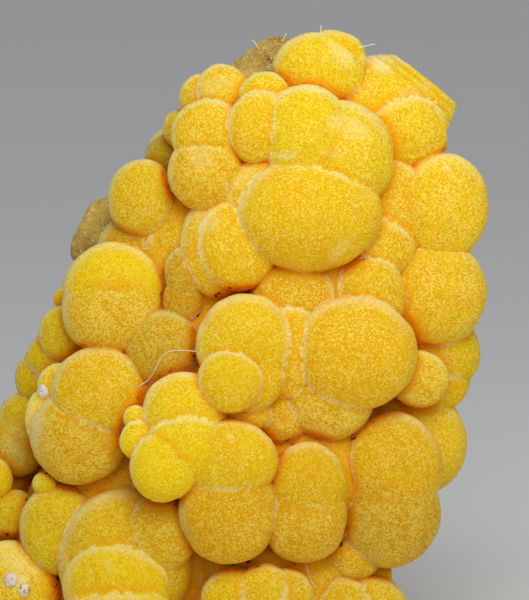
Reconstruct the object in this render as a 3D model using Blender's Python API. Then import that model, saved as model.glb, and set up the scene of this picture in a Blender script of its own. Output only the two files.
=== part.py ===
"""A mimetite specimen: a crust of fused yellow domes on a brown iron-oxide matrix, standing on a flat cut."""

import math

import bmesh
import bpy
from mathutils import Matrix, Vector, noise

# Driving dimensions, in millimetres and degrees
LEAN = 10.0
CRUST_GAP = 0.3
CRYSTAL_GAP = 0.12
LARGE_DOME = 1.1
LARGE_ROCK = 4.0
FACES_KEPT = 0.215
FOOT_REACH = 0.05
FRONT_DEPTH = 0.55
BACK_DEPTH = 1.25
FILLING_DEPTH = 3.6
CUTTER_SIZE = 60.0
MILLIMETRE = 0.001

# The middle of the specimen's footprint, measured across and up the leaning face
FOOT_ACROSS = -0.96
FOOT_BEHIND = 2.11

# Every dome is (middle across, middle up, foremost point, half width, half height), seen square to the face
CROWN = [
    (3.95, 29.4, 4.5, 2.4, 2.0),
    (4.7, 29.85, 4.15, 1.7, 1.7),
]
SHOULDER = [
    (1.2, 28.1, 5.4, 1.3, 1.25),
    (-0.9, 28.35, 4.7, 1.4, 1.4),
    (-1.95, 28.1, 4.2, 1.15, 1.2),
    (-1.6, 26.3, 5.8, 1.9, 1.75),
    (-1.65, 24.3, 6.0, 1.95, 1.95),
    (-2.9, 26.6, 3.6, 1.0, 1.0),
    (-3.95, 25.3, 1.3, 0.85, 0.9),
    (-3.3, 24.9, 2.9, 1.5, 1.5),
]
GREAT_DOME = [
    (3.4, 22.3, 7.4, 3.65, 2.9),
    (1.15, 22.8, 6.1, 2.2, 2.4),
    (3.25, 26.2, 6.85, 2.1, 2.55),
    (0.95, 26.6, 6.3, 1.65, 1.85),
    (4.8, 25.1, 6.7, 2.9, 2.85),
    (-0.15, 20.85, 6.25, 2.15, 2.25),
    (-1.05, 20.85, 5.6, 2.05, 2.1),
    (-1.4, 19.5, 4.6, 1.0, 1.0),
]
RIGHT_FLANK = [
    (7.4, 27.3, 3.9, 3.6, 3.0),
    (8.2, 26.6, 4.7, 2.15, 1.9),
    (10.25, 22.65, 4.5, 2.15, 2.75),
    (9.85, 18.3, 4.7, 2.55, 2.65),
    (9.9, 15.4, 3.6, 2.15, 2.15),
    (9.85, 14.1, 3.3, 1.75, 1.75),
    (8.95, 14.05, 5.0, 1.45, 1.45),
    (8.3, 10.85, 3.8, 3.1, 3.0),
    (7.2, 22.6, 4.6, 1.75, 2.6),
    (6.9, 20.9, 4.9, 1.75, 1.75),
    (6.5, 18.1, 5.6, 1.75, 2.0),
    (3.0, 17.7, 5.8, 2.1, 2.1),
    (6.95, 25.0, 4.2, 1.0, 0.9),
]
CENTRE = [
    (0.25, 15.75, 7.3, 2.5, 2.5),
    (0.3, 14.3, 7.2, 2.0, 2.0),
    (-0.45, 14.0, 7.8, 1.65, 1.65),
    (5.7, 15.35, 7.4, 3.15, 2.9),
    (2.6, 15.4, 6.6, 1.8, 2.4),
    (4.4, 13.1, 6.4, 2.3, 2.15),
    (2.1, 12.2, 5.9, 1.4, 1.4),
    (0.4, 12.3, 6.4, 1.3, 0.9),
]
UPPER_LEFT = [
    (-4.9, 23.15, 4.4, 1.7, 1.95),
    (-4.8, 20.3, 3.0, 2.4, 2.2),
    (-6.35, 18.65, 5.4, 2.5, 2.2),
    (-6.4, 17.5, 5.5, 2.55, 2.4),
    (-3.8, 15.5, 5.3, 1.95, 2.0),
    (-2.75, 19.3, 4.3, 1.05, 1.4),
    (-2.85, 18.1, 4.2, 1.0, 1.3),
    (-9.0, 18.05, 1.4, 0.45, 0.5),
    (-8.7, 16.3, 3.6, 1.45, 1.5),
    (-9.45, 15.1, 3.0, 1.35, 1.35),
    (-10.2, 14.1, 2.6, 1.15, 1.4),
    (-10.6, 11.75, 2.6, 1.7, 1.8),
    (-11.25, 10.8, 2.6, 1.5, 1.7),
]
LEFT_CLUSTER = [
    (-7.0, 13.25, 6.0, 2.45, 2.4),
    (-8.95, 13.75, 4.8, 1.15, 1.1),
    (-9.85, 12.1, 4.6, 0.85, 1.35),
    (-8.0, 11.2, 5.7, 2.45, 2.45),
    (-2.75, 12.25, 7.4, 2.15, 2.15),
    (-5.2, 12.1, 6.6, 0.65, 0.7),
    (-5.1, 11.0, 7.0, 0.95, 1.0),
    (-3.75, 9.75, 7.95, 1.75, 1.75),
    (-0.5, 10.0, 7.9, 2.4, 2.1),
    (-2.7, 10.7, 7.85, 2.0, 1.9),
    (-0.55, 7.6, 7.6, 2.5, 2.7),
]
LOWER_RIGHT = [
    (3.4, 8.85, 7.0, 1.95, 2.1),
    (3.2, 7.3, 6.9, 2.15, 2.4),
    (7.6, 9.6, 5.9, 2.55, 2.85),
    (7.45, 7.5, 5.8, 2.6, 2.85),
    (5.55, 5.2, 4.9, 1.45, 1.3),
    (6.9, 4.25, 3.6, 0.75, 0.75),
]
FOOT = [
    (-9.8, 8.8, 4.4, 0.6, 0.6),
    (-9.1, 6.5, 4.8, 1.95, 2.3),
    (-5.75, 5.0, 6.2, 3.4, 3.6),
    (-6.1, 3.6, 6.8, 2.75, 2.7),
    (-6.0, 1.5, 7.2, 2.95, 3.1),
    (-4.1, 6.25, 6.3, 1.95, 2.0),
    (-11.5, 3.2, 4.6, 2.4, 2.7),
    (-11.5, 7.25, 3.2, 1.25, 1.25),
    (-12.6, 9.0, 3.4, 1.2, 1.2),
    (-0.2, 2.9, 6.4, 1.8, 1.85),
    (1.2, 3.1, 6.6, 1.8, 1.85),
    (2.2, 2.9, 6.4, 1.5, 1.8),
    (5.1, 2.45, 5.4, 1.9, 1.75),
    (6.6, 2.5, 5.0, 1.8, 1.75),
]
BELOW_THE_PICTURE = [
    (-12.2, 1.2, 4.0, 1.9, 2.1),
    (-9.0, -0.4, 5.6, 2.2, 2.2),
    (-5.2, -0.9, 6.9, 2.4, 2.3),
    (-1.6, -0.6, 6.7, 2.1, 2.1),
    (1.9, -0.5, 6.5, 2.2, 2.2),
    (5.3, -0.6, 5.7, 2.1, 2.1),
    (8.0, 0.2, 3.8, 1.5, 1.8),
]
RIGHT_SIDE = [
    (7.6, 27.0, 1.3, 2.9, 2.7),
    (5.2, 28.5, 0.7, 2.0, 2.0),
    (8.9, 24.9, 1.1, 1.45, 1.4),
    (8.9, 22.9, 0.6, 2.7, 2.6),
    (10.2, 20.5, 2.2, 1.4, 1.4),
    (8.9, 19.7, 1.0, 2.3, 2.1),
    (9.7, 17.5, 0.3, 1.7, 1.8),
    (8.8, 15.8, -0.4, 2.4, 2.3),
    (9.7, 13.8, 1.0, 1.6, 1.5),
    (8.2, 12.4, -0.8, 1.8, 1.8),
    (8.6, 10.6, 0.6, 2.6, 2.5),
    (8.3, 8.0, -0.2, 1.7, 1.6),
    (7.1, 6.9, 1.8, 2.2, 2.1),
    (6.0, 4.9, 0.2, 1.6, 1.6),
    (6.6, 2.6, 1.4, 1.6, 1.7),
    (7.0, 0.8, 0.2, 2.1, 2.0),
]
LEFT_SIDE = [
    (-1.4, 26.8, 1.6, 1.4, 1.4),
    (-3.0, 25.2, 1.2, 1.8, 1.7),
    (-4.8, 23.2, 0.9, 1.6, 1.8),
    (-7.2, 18.2, 0.6, 2.0, 1.9),
    (-8.2, 16.2, 0.4, 1.4, 1.5),
    (-9.1, 14.2, 0.6, 2.1, 2.0),
    (-10.3, 12.2, 0.0, 1.4, 1.5),
    (-10.6, 10.3, 0.8, 2.3, 2.1),
    (-12.0, 8.4, 1.2, 1.6, 1.7),
    (-11.4, 6.2, 0.2, 2.4, 2.3),
    (-12.6, 4.2, 2.2, 1.7, 1.6),
    (-11.9, 2.2, 0.8, 2.2, 2.1),
    (-12.3, 0.4, 2.0, 1.9, 1.6),
]
BACK_EDGE = [
    (3.9, 28.3, -2.2, 1.3, 1.4),
    (6.0, 27.5, -2.6, 1.5, 1.5),
    (7.9, 24.6, -2.4, 1.6, 1.6),
    (8.2, 21.2, -2.4, 1.4, 1.5),
    (8.0, 17.3, -3.0, 1.7, 1.6),
    (7.4, 13.6, -3.3, 1.5, 1.6),
    (6.9, 9.6, -3.2, 1.9, 1.8),
    (6.4, 5.2, -3.4, 1.5, 1.6),
    (6.4, 1.6, -3.2, 1.8, 1.8),
    (-3.4, 23.0, -2.2, 1.4, 1.4),
    (-6.4, 17.4, -2.6, 1.5, 1.5),
    (-8.6, 12.9, -2.6, 1.7, 1.6),
    (-10.0, 8.6, -2.6, 1.6, 1.7),
    (-10.5, 4.6, -3.0, 1.9, 1.8),
    (-10.4, 1.0, -3.0, 1.7, 1.7),
]
FILLING = [
    (3.5, 24.0, 4.2, 4.6, 4.8),
    (4.5, 17.0, 4.8, 5.0, 5.4),
    (-2.0, 20.0, 4.0, 4.4, 5.0),
    (-3.0, 14.5, 4.4, 5.6, 5.8),
    (3.5, 9.0, 4.8, 5.0, 5.0),
    (-5.0, 6.0, 3.7, 6.2, 6.4),
    (2.0, 3.0, 4.6, 5.4, 5.0),
    (-6.0, -0.5, 4.4, 6.0, 4.5),
    (1.5, -1.0, 4.4, 6.5, 4.5),
]
FRONT_DOMES = (CROWN + SHOULDER + GREAT_DOME + RIGHT_FLANK + CENTRE + UPPER_LEFT + LEFT_CLUSTER + LOWER_RIGHT
               + FOOT + BELOW_THE_PICTURE)
SIDE_DOMES = RIGHT_SIDE + LEFT_SIDE + BACK_EDGE

# Every lump of rock is (middle across, middle up, middle out, half width, half height, half depth)
ROCK_LUMPS = [
    (-2.6, 4.5, -3.2, 8.6, 9.5, 4.0),
    (0.2, 14.5, -3.4, 7.6, 9.0, 3.9),
    (3.0, 22.5, -3.0, 5.4, 7.0, 3.5),
    (-4.6, 19.5, -2.8, 3.2, 3.6, 2.4),
]
ROCK_ROUGHNESS = 0.2
ROCK_GRAIN = 0.42

# The flat-sided chips of rock that stand out of the crust, by the corners (across, up, out) of each
SIDE_CHIP = [
    (-6.3, 23.2, 1.4), (-7.45, 22.85, 0.9), (-7.95, 21.6, 0.9), (-8.5, 20.8, 0.5), (-8.55, 20.3, 0.4),
    (-8.1, 19.6, 0.9), (-5.6, 19.4, 1.9), (-5.4, 22.8, 1.9), (-6.0, 23.4, -2.4), (-7.6, 22.6, -2.2),
    (-8.3, 20.7, -2.4), (-7.8, 19.3, -2.6), (-5.0, 19.5, -3.0), (-5.0, 22.6, -3.0),
]
CROWN_CHIP = [
    (-0.9, 29.3, 2.4), (0.0, 29.95, 2.0), (1.1, 31.0, 1.5), (1.6, 31.2, 1.3), (2.3, 31.15, 1.3),
    (3.0, 30.6, 1.8), (1.6, 29.0, 3.6), (0.3, 28.6, 3.6), (-0.8, 28.6, 3.0), (-0.4, 29.4, -1.8),
    (1.2, 30.7, -1.8), (2.4, 30.9, -1.8), (3.2, 29.5, -2.4), (0.6, 27.0, -2.6), (-0.6, 27.6, -2.2),
]

# The broken upper right plate ends in a slope through its corner, and in a short side down from there
BREAK_CORNER = (10.95, 27.8)
BREAK_SLOPE = -38.8
BREAK_SIDE = (10.35, 26.5)

# Every clear crystal is (foot across, foot up, foot out, half width, length, lean across, lean up)
UPPER_CRYSTALS = [
    (-9.75, 13.15, 4.05, 0.34, 1.1, -0.15, 0.75),
]
LOWER_CRYSTALS = [
    (-11.3, 3.85, 4.05, 0.38, 1.2, -0.3, 0.35),
    (-10.9, 3.55, 4.1, 0.34, 1.05, 0.3, -0.1),
]


def at_face(across, up, out):
    """The world position of a point given across the leaning face, up it and out of it, in millimetres."""
    lean = math.radians(LEAN)
    behind = up * math.sin(lean) - out * math.cos(lean)
    height = up * math.cos(lean) + out * math.sin(lean)
    return Vector((across - FOOT_ACROSS, behind - FOOT_BEHIND, height)) * MILLIMETRE


def face_turn():
    """The turn that lays Z up along the leaning face, X across it and Y into it."""
    return Matrix.Rotation(-math.radians(LEAN), 4, "X")


def material(name, colour, roughness, metallic=0.0):
    made = bpy.data.materials.new(name)
    made.use_nodes = True
    shader = made.node_tree.nodes["Principled BSDF"]
    shader.inputs["Base Color"].default_value = (*colour, 1.0)
    shader.inputs["Roughness"].default_value = roughness
    shader.inputs["Metallic"].default_value = metallic
    return made


def object_from(shape, name, collection):
    mesh = bpy.data.meshes.new(name)
    shape.to_mesh(mesh)
    shape.free()
    made = bpy.data.objects.new(name, mesh)
    collection.objects.link(made)
    return made


def hide_cutter(cutter):
    cutter.hide_render = True
    cutter.display_type = "WIRE"


def dome(row, front_depth, back_depth, number, collection):
    """One round dome of the crust, shallow in front; small ones and deep ones have fewer faces."""
    across, up, front, half_width, half_height = row
    shape = bmesh.new()
    finish = 3 if LARGE_DOME < half_width and front_depth < FILLING_DEPTH else 2
    bmesh.ops.create_icosphere(shape, subdivisions=finish, radius=1.0)
    for corner in shape.verts:
        depth = front_depth if corner.co.y < 0.0 else back_depth
        corner.co = Vector((corner.co.x * half_width, corner.co.y * depth, corner.co.z * half_height)) * MILLIMETRE
    place = Matrix.Translation(at_face(across, up, front - front_depth)) @ face_turn()
    bmesh.ops.transform(shape, matrix=place, verts=shape.verts)
    return object_from(shape, f"dome_{number}", collection)


def rock_lump(row, number, grow, collection):
    """One lump of the rough matrix, grown all round where it serves as a cutter."""
    across, up, out, half_width, half_height, half_depth = row
    shape = bmesh.new()
    finish = 3 if half_width > LARGE_ROCK else 2
    bmesh.ops.create_icosphere(shape, subdivisions=finish, radius=MILLIMETRE)
    half_sizes = (half_width + grow, half_depth + grow, half_height + grow)
    roughness = ROCK_ROUGHNESS * half_width
    for corner in shape.verts:
        direction = corner.co.normalized()
        sample = Vector([part * size for part, size in zip(direction, (half_width, half_depth, half_height))])
        swell = roughness * noise.noise(sample * ROCK_GRAIN + Vector((number, 0.0, 0.0)))
        swell += 0.5 * roughness * noise.noise(sample * 2.3 * ROCK_GRAIN)
        corner.co = Vector([part * (size + swell) for part, size in zip(direction, half_sizes)]) * MILLIMETRE
    place = Matrix.Translation(at_face(across, up, out)) @ face_turn()
    bmesh.ops.transform(shape, matrix=place, verts=shape.verts)
    return object_from(shape, f"rock_{number}", collection)


def rock_chip(corners, name, grow, collection):
    """A flat-sided chip of rock around the corners given, grown all round where it serves as a cutter."""
    middle = sum((Vector(corner) for corner in corners), Vector()) / len(corners)
    shape = bmesh.new()
    for corner in corners:
        away = Vector(corner) - middle
        shape.verts.new(at_face(*(middle + away + grow * away.normalized())))
    hull = bmesh.ops.convex_hull(shape, input=shape.verts)
    bmesh.ops.delete(shape, geom=list(set(hull["geom_interior"] + hull["geom_unused"])), context="VERTS")
    return object_from(shape, name, collection)


def rock_pieces(grow, collection):
    """Every lump and chip of the matrix."""
    lumps = [rock_lump(row, n, grow, collection) for n, row in enumerate(ROCK_LUMPS)]
    return lumps + [
        rock_chip(SIDE_CHIP, "side_chip", grow, collection),
        rock_chip(CROWN_CHIP, "crown_chip", grow, collection),
    ]


def as_seen(source, name, collection):
    """A new object with the source's mesh as its modifiers leave it; the source is removed."""
    bpy.context.view_layer.update()
    depsgraph = bpy.context.evaluated_depsgraph_get()
    mesh = bpy.data.meshes.new_from_object(source.evaluated_get(depsgraph))
    mesh.materials.clear()
    bpy.data.objects.remove(source)
    made = bpy.data.objects.new(name, mesh)
    collection.objects.link(made)
    return made


def joined(objects, name, collection):
    """One closed solid from several that overlap."""
    first = objects[0]
    others = bpy.data.collections.new(name + "_others")
    for other in objects[1:]:
        others.objects.link(other)
    union = first.modifiers.new("Join", "BOOLEAN")
    union.operation = "UNION"
    union.operand_type = "COLLECTION"
    union.collection = others
    made = as_seen(first, name, collection)
    for old in objects[1:]:
        bpy.data.objects.remove(old)
    bpy.data.collections.remove(others)
    return made


def cut_away(target, cutter, solver="EXACT"):
    cut = target.modifiers.new(cutter.name, "BOOLEAN")
    cut.operation = "DIFFERENCE"
    cut.solver = solver
    cut.object = cutter


def body_of(start):
    """Every corner that is joined by edges to the one given."""
    found = {start}
    waiting = [start]
    while waiting:
        corner = waiting.pop()
        near = {edge.other_vert(corner) for edge in corner.link_edges} - found
        found |= near
        waiting.extend(near)
    return found


def remove_scraps(target):
    """Takes away the loose scraps that the cuts leave, and keeps the one large body."""
    shape = bmesh.new()
    shape.from_mesh(target.data)
    left = set(shape.verts)
    bodies = []
    while left:
        bodies.append(body_of(next(iter(left))))
        left -= bodies[-1]
    bodies.sort(key=len)
    scraps = [corner for body in bodies[:-1] for corner in body]
    bmesh.ops.delete(shape, geom=scraps, context="VERTS")
    shape.to_mesh(target.data)
    shape.free()


def coarsen(target, name, collection):
    """Fewer and more even facets, with the foot kept flat."""
    coarser = target.modifiers.new("Coarser", "DECIMATE")
    coarser.ratio = FACES_KEPT
    made = as_seen(target, name, collection)
    for corner in made.data.vertices:
        if corner.co.z < FOOT_REACH * MILLIMETRE:
            corner.co.z = 0.0
    return made


def box_cutter(name, matrix, size, collection):
    shape = bmesh.new()
    bmesh.ops.create_cube(shape, size=1.0)
    bmesh.ops.transform(shape, matrix=matrix @ Matrix.Diagonal((*size, 1.0)), verts=shape.verts)
    cutter = object_from(shape, name, collection)
    hide_cutter(cutter)
    return cutter


def ground_cutter(collection):
    """Everything below the flat cut that the specimen stands on."""
    side = CUTTER_SIZE * MILLIMETRE
    return box_cutter("ground", Matrix.Translation((0.0, 0.0, -side / 2)), (side, side, side), collection)


def break_cutters(collection):
    """The two clean breaks that end the upper right plate."""
    side = CUTTER_SIZE * MILLIMETRE
    slope = Matrix.Rotation(-math.radians(BREAK_SLOPE), 4, "Y")
    corner = Matrix.Translation(at_face(*BREAK_CORNER, 0.0)) @ face_turn()
    above = corner @ slope @ Matrix.Translation((0.0, 0.0, side / 2))
    sloping = box_cutter("sloping_break", above, (side, side, side), collection)
    edge = Vector(BREAK_CORNER) - Vector(BREAK_SIDE)
    length = edge.length * MILLIMETRE
    slant = Matrix.Rotation(math.atan2(edge.x, edge.y), 4, "Y")
    foot = Matrix.Translation(at_face(*BREAK_SIDE, 0.0)) @ face_turn()
    beside = foot @ slant @ Matrix.Translation((side / 2, 0.0, length))
    steep = box_cutter("steep_break", beside, (side, side, 2 * length), collection)
    return [sloping, steep]


def crystal(row, grow, name, collection):
    """A six-sided crystal with a pointed end, grown all round where it serves as a cutter."""
    across, up, out, half_width, length, lean_across, lean_up = row
    width = half_width + grow
    shape = bmesh.new()
    tip = 0.45 * length
    bmesh.ops.create_cone(
        shape, segments=6, radius1=width, radius2=width, depth=length - tip + grow, cap_ends=True
    )
    bmesh.ops.translate(shape, verts=shape.verts, vec=(0.0, 0.0, (length - tip - grow) / 2))
    top = max(shape.faces, key=lambda face: face.calc_center_median().z)
    point = bmesh.ops.poke(shape, faces=[top])["verts"][0]
    point.co.z += tip + grow
    direction = Vector((lean_across, -1.0, lean_up)).normalized()
    turn = direction.to_track_quat("Z", "X").to_matrix().to_4x4()
    scale = Matrix.Diagonal((MILLIMETRE, MILLIMETRE, MILLIMETRE, 1.0))
    place = Matrix.Translation(at_face(across, up, out)) @ face_turn() @ turn @ scale
    bmesh.ops.transform(shape, matrix=place, verts=shape.verts)
    return object_from(shape, name, collection)


def crystal_group(rows, name, parts, cutters):
    """The crystals of one place as one solid, and the cutter that makes their socket."""
    grown = [crystal(row, CRYSTAL_GAP, f"{name}_socket_{n}", cutters) for n, row in enumerate(rows)]
    made = [crystal(row, 0.0, f"{name}_{n}", parts) for n, row in enumerate(rows)]
    solid = joined(made, name, parts) if len(made) > 1 else made[0]
    solid.name = name
    socket = joined(grown, f"{name}_socket", cutters) if len(grown) > 1 else grown[0]
    hide_cutter(socket)
    return solid, socket


def clear_scene():
    for old in list(bpy.data.objects):
        bpy.data.objects.remove(old)


def main():
    clear_scene()
    scene = bpy.context.scene
    parts = bpy.data.collections.new("mimetite_specimen")
    cutters = bpy.data.collections.new("cutters")
    scene.collection.children.link(parts)
    scene.collection.children.link(cutters)

    ground = ground_cutter(cutters)
    matrix = joined(rock_pieces(0.0, cutters), "iron_oxide_matrix", parts)
    bed = joined(rock_pieces(CRUST_GAP, cutters), "bed", cutters)
    hide_cutter(bed)
    cut_away(matrix, ground)
    upper, upper_socket = crystal_group(UPPER_CRYSTALS, "clear_crystal_upper", parts, cutters)
    lower, lower_socket = crystal_group(LOWER_CRYSTALS, "clear_crystals_lower", parts, cutters)

    front = [dome(row, FRONT_DEPTH * row[3], BACK_DEPTH * row[3], n, cutters)
             for n, row in enumerate(FRONT_DOMES)]
    sides = [dome(row, row[3], row[3], n, cutters) for n, row in enumerate(SIDE_DOMES)]
    filling = [dome(row, FILLING_DEPTH, FILLING_DEPTH, n, cutters) for n, row in enumerate(FILLING)]
    crust = joined(front + sides + filling, "crust_blank", cutters)
    # The exact solver tears a surface with this many crossings, so the manifold one makes these cuts
    for cutter in [bed, *break_cutters(cutters), upper_socket, lower_socket, ground]:
        cut_away(crust, cutter, "MANIFOLD")
    crust = as_seen(crust, "crust_cut", cutters)
    remove_scraps(crust)
    crust = coarsen(crust, "mimetite_crust", parts)

    clear = material("clear crystal", (0.9, 0.9, 0.86), 0.08)
    crust.data.materials.append(material("yellow mimetite", (0.78, 0.5, 0.03), 0.5))
    matrix.data.materials.append(material("brown iron oxide", (0.19, 0.12, 0.03), 0.85))
    upper.data.materials.append(clear)
    lower.data.materials.append(clear)


main()
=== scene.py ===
"""A mimetite specimen in full dress: velvety yellow domes, rough brown rock and small clear crystals."""

import math

import bmesh
import bpy
import numpy as np
from mathutils import Matrix, Vector, noise


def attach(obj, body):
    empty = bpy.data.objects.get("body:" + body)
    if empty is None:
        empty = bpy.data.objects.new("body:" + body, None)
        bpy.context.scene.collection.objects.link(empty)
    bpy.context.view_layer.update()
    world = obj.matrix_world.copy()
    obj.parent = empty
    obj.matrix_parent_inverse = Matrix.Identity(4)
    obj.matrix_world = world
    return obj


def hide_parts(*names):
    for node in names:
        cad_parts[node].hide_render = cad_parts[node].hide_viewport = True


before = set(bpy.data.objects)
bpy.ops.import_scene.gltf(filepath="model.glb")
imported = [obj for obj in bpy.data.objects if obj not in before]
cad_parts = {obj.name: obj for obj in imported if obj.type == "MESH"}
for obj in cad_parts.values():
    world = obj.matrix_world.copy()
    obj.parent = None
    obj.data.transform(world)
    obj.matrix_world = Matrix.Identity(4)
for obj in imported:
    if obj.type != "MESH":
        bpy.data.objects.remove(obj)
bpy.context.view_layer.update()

# Driving dimensions, in millimetres and degrees, as in the part
LEAN = 10.0
FOOT_ACROSS = -0.96
FOOT_BEHIND = 2.11
FRONT_DEPTH = 0.55
BACK_DEPTH = 1.25
FILLING_DEPTH = 3.6
MILLIMETRE = 0.001

# Every dome is (middle across, middle up, foremost point, half width, half height), seen square to the face
CROWN = [
    (3.95, 29.4, 4.5, 2.4, 2.0),
    (4.7, 29.85, 4.15, 1.7, 1.7),
]
SHOULDER = [
    (1.2, 28.1, 5.4, 1.3, 1.25),
    (-0.9, 28.35, 4.7, 1.4, 1.4),
    (-1.95, 28.1, 4.2, 1.15, 1.2),
    (-1.6, 26.3, 5.8, 1.9, 1.75),
    (-1.65, 24.3, 6.0, 1.95, 1.95),
    (-2.9, 26.6, 3.6, 1.0, 1.0),
    (-3.95, 25.3, 1.3, 0.85, 0.9),
    (-3.3, 24.9, 2.9, 1.5, 1.5),
]
GREAT_DOME = [
    (3.4, 22.3, 7.4, 3.65, 2.9),
    (1.15, 22.8, 6.1, 2.2, 2.4),
    (3.35, 26.1, 6.75, 2.25, 2.65),
    (0.95, 26.6, 6.3, 1.65, 1.85),
    (4.8, 25.1, 6.7, 2.9, 2.85),
    (-0.15, 20.75, 6.25, 2.05, 2.35),
    (-1.1, 20.7, 5.6, 1.95, 2.6),
    (-1.3, 19.3, 5.0, 1.15, 1.1),
]
RIGHT_FLANK = [
    (7.4, 27.3, 4.1, 3.6, 3.0),
    (8.2, 26.5, 4.55, 2.3, 2.0),
    (10.2, 22.65, 4.9, 2.25, 2.75),
    (9.8, 18.4, 4.9, 2.6, 2.75),
    (9.9, 15.4, 3.6, 2.15, 2.15),
    (9.85, 14.1, 3.3, 1.75, 1.75),
    (8.95, 14.05, 5.0, 1.45, 1.45),
    (8.3, 10.85, 3.8, 3.1, 3.0),
    (7.5, 22.4, 4.8, 2.1, 2.8),
    (6.9, 20.7, 5.1, 1.9, 1.9),
    (6.4, 18.2, 5.7, 1.9, 2.1),
    (2.8, 17.9, 5.9, 2.4, 2.2),
    (6.95, 25.0, 4.2, 1.0, 0.9),
]
CENTRE = [
    (0.25, 15.75, 7.3, 2.5, 2.5),
    (0.3, 14.3, 7.2, 2.0, 2.0),
    (-0.45, 14.0, 7.8, 1.65, 1.65),
    (5.7, 15.35, 7.4, 3.15, 2.9),
    (2.6, 15.4, 6.6, 1.8, 2.4),
    (4.4, 13.1, 6.4, 2.3, 2.15),
    (2.1, 12.2, 5.9, 1.4, 1.4),
    (0.4, 12.3, 6.4, 1.3, 0.9),
]
UPPER_LEFT = [
    (-4.9, 23.15, 4.4, 1.7, 1.95),
    (-4.8, 20.3, 3.7, 2.4, 2.2),
    (-6.35, 18.65, 5.4, 2.5, 2.2),
    (-6.4, 17.5, 5.5, 2.55, 2.4),
    (-3.8, 15.55, 5.6, 2.0, 1.95),
    (-2.75, 19.3, 5.0, 1.1, 1.5),
    (-2.85, 18.0, 4.9, 1.05, 1.35),
    (-9.0, 18.05, 1.4, 0.45, 0.5),
    (-8.7, 16.3, 3.6, 1.45, 1.5),
    (-9.45, 15.1, 3.0, 1.35, 1.35),
    (-10.2, 14.1, 2.6, 1.15, 1.4),
    (-10.6, 11.75, 2.6, 1.7, 1.8),
    (-11.25, 10.8, 2.6, 1.5, 1.7),
]
LEFT_CLUSTER = [
    (-7.0, 13.25, 6.0, 2.45, 2.4),
    (-8.95, 13.75, 4.8, 1.15, 1.1),
    (-9.85, 12.1, 4.6, 0.85, 1.35),
    (-8.0, 11.2, 5.7, 2.45, 2.45),
    (-2.75, 12.25, 7.4, 2.15, 2.15),
    (-5.2, 12.1, 6.6, 0.65, 0.7),
    (-5.1, 11.0, 7.0, 0.95, 1.0),
    (-3.75, 9.75, 7.95, 1.75, 1.75),
    (-0.5, 10.0, 7.9, 2.4, 2.1),
    (-2.7, 10.7, 7.85, 2.0, 1.9),
    (-0.55, 7.6, 7.6, 2.5, 2.7),
]
LOWER_RIGHT = [
    (3.4, 8.85, 7.0, 1.95, 2.1),
    (3.2, 7.3, 6.9, 2.15, 2.4),
    (7.6, 9.6, 5.9, 2.55, 2.85),
    (7.45, 7.5, 5.8, 2.6, 2.85),
    (5.55, 5.2, 4.9, 1.45, 1.3),
    (6.9, 4.25, 3.6, 0.75, 0.75),
]
FOOT = [
    (-9.8, 8.8, 4.4, 0.6, 0.6),
    (-9.1, 6.5, 4.8, 1.95, 2.3),
    (-5.75, 5.0, 6.2, 3.4, 3.6),
    (-6.1, 3.6, 6.8, 2.75, 2.7),
    (-6.0, 1.5, 7.2, 2.95, 3.1),
    (-4.1, 6.25, 6.3, 1.95, 2.0),
    (-11.5, 3.2, 4.6, 2.4, 2.7),
    (-11.5, 7.25, 3.2, 1.25, 1.25),
    (-12.6, 9.0, 3.4, 1.2, 1.2),
    (-0.2, 2.9, 6.4, 1.8, 1.85),
    (1.2, 3.1, 6.6, 1.8, 1.85),
    (2.2, 2.9, 6.4, 1.5, 1.8),
    (5.1, 2.45, 5.4, 1.9, 1.75),
    (6.6, 2.5, 5.0, 1.8, 1.75),
]
BELOW_THE_PICTURE = [
    (-12.2, 1.2, 4.0, 1.9, 2.1),
    (-9.0, -0.4, 5.6, 2.2, 2.2),
    (-5.2, -0.9, 6.9, 2.4, 2.3),
    (-1.6, -0.6, 6.7, 2.1, 2.1),
    (1.9, -0.5, 6.5, 2.2, 2.2),
    (5.3, -0.6, 5.7, 2.1, 2.1),
    (8.0, 0.2, 3.8, 1.5, 1.8),
]
RIGHT_SIDE = [
    (7.6, 27.0, 1.3, 2.9, 2.7),
    (5.2, 28.5, 0.7, 2.0, 2.0),
    (8.9, 24.9, 1.1, 1.45, 1.4),
    (8.9, 22.9, 0.6, 2.7, 2.6),
    (10.2, 20.5, 2.2, 1.4, 1.4),
    (8.9, 19.7, 1.0, 2.3, 2.1),
    (9.7, 17.5, 0.3, 1.7, 1.8),
    (8.8, 15.8, -0.4, 2.4, 2.3),
    (9.7, 13.8, 1.0, 1.6, 1.5),
    (8.2, 12.4, -0.8, 1.8, 1.8),
    (8.6, 10.6, 0.6, 2.6, 2.5),
    (8.3, 8.0, -0.2, 1.7, 1.6),
    (7.1, 6.9, 1.8, 2.2, 2.1),
    (6.0, 4.9, 0.2, 1.6, 1.6),
    (6.6, 2.6, 1.4, 1.6, 1.7),
    (7.0, 0.8, 0.2, 2.1, 2.0),
]
LEFT_SIDE = [
    (-1.4, 26.8, 1.6, 1.4, 1.4),
    (-3.0, 25.2, 1.2, 1.8, 1.7),
    (-4.8, 23.2, 0.9, 1.6, 1.8),
    (-7.2, 18.2, 0.6, 2.0, 1.9),
    (-8.2, 16.2, 0.4, 1.4, 1.5),
    (-9.1, 14.2, 0.6, 2.1, 2.0),
    (-10.3, 12.2, 0.0, 1.4, 1.5),
    (-10.6, 10.3, 0.8, 2.3, 2.1),
    (-12.0, 8.4, 1.2, 1.6, 1.7),
    (-11.4, 6.2, 0.2, 2.4, 2.3),
    (-12.6, 4.2, 2.2, 1.7, 1.6),
    (-11.9, 2.2, 0.8, 2.2, 2.1),
    (-12.3, 0.4, 2.0, 1.9, 1.6),
]
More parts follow.
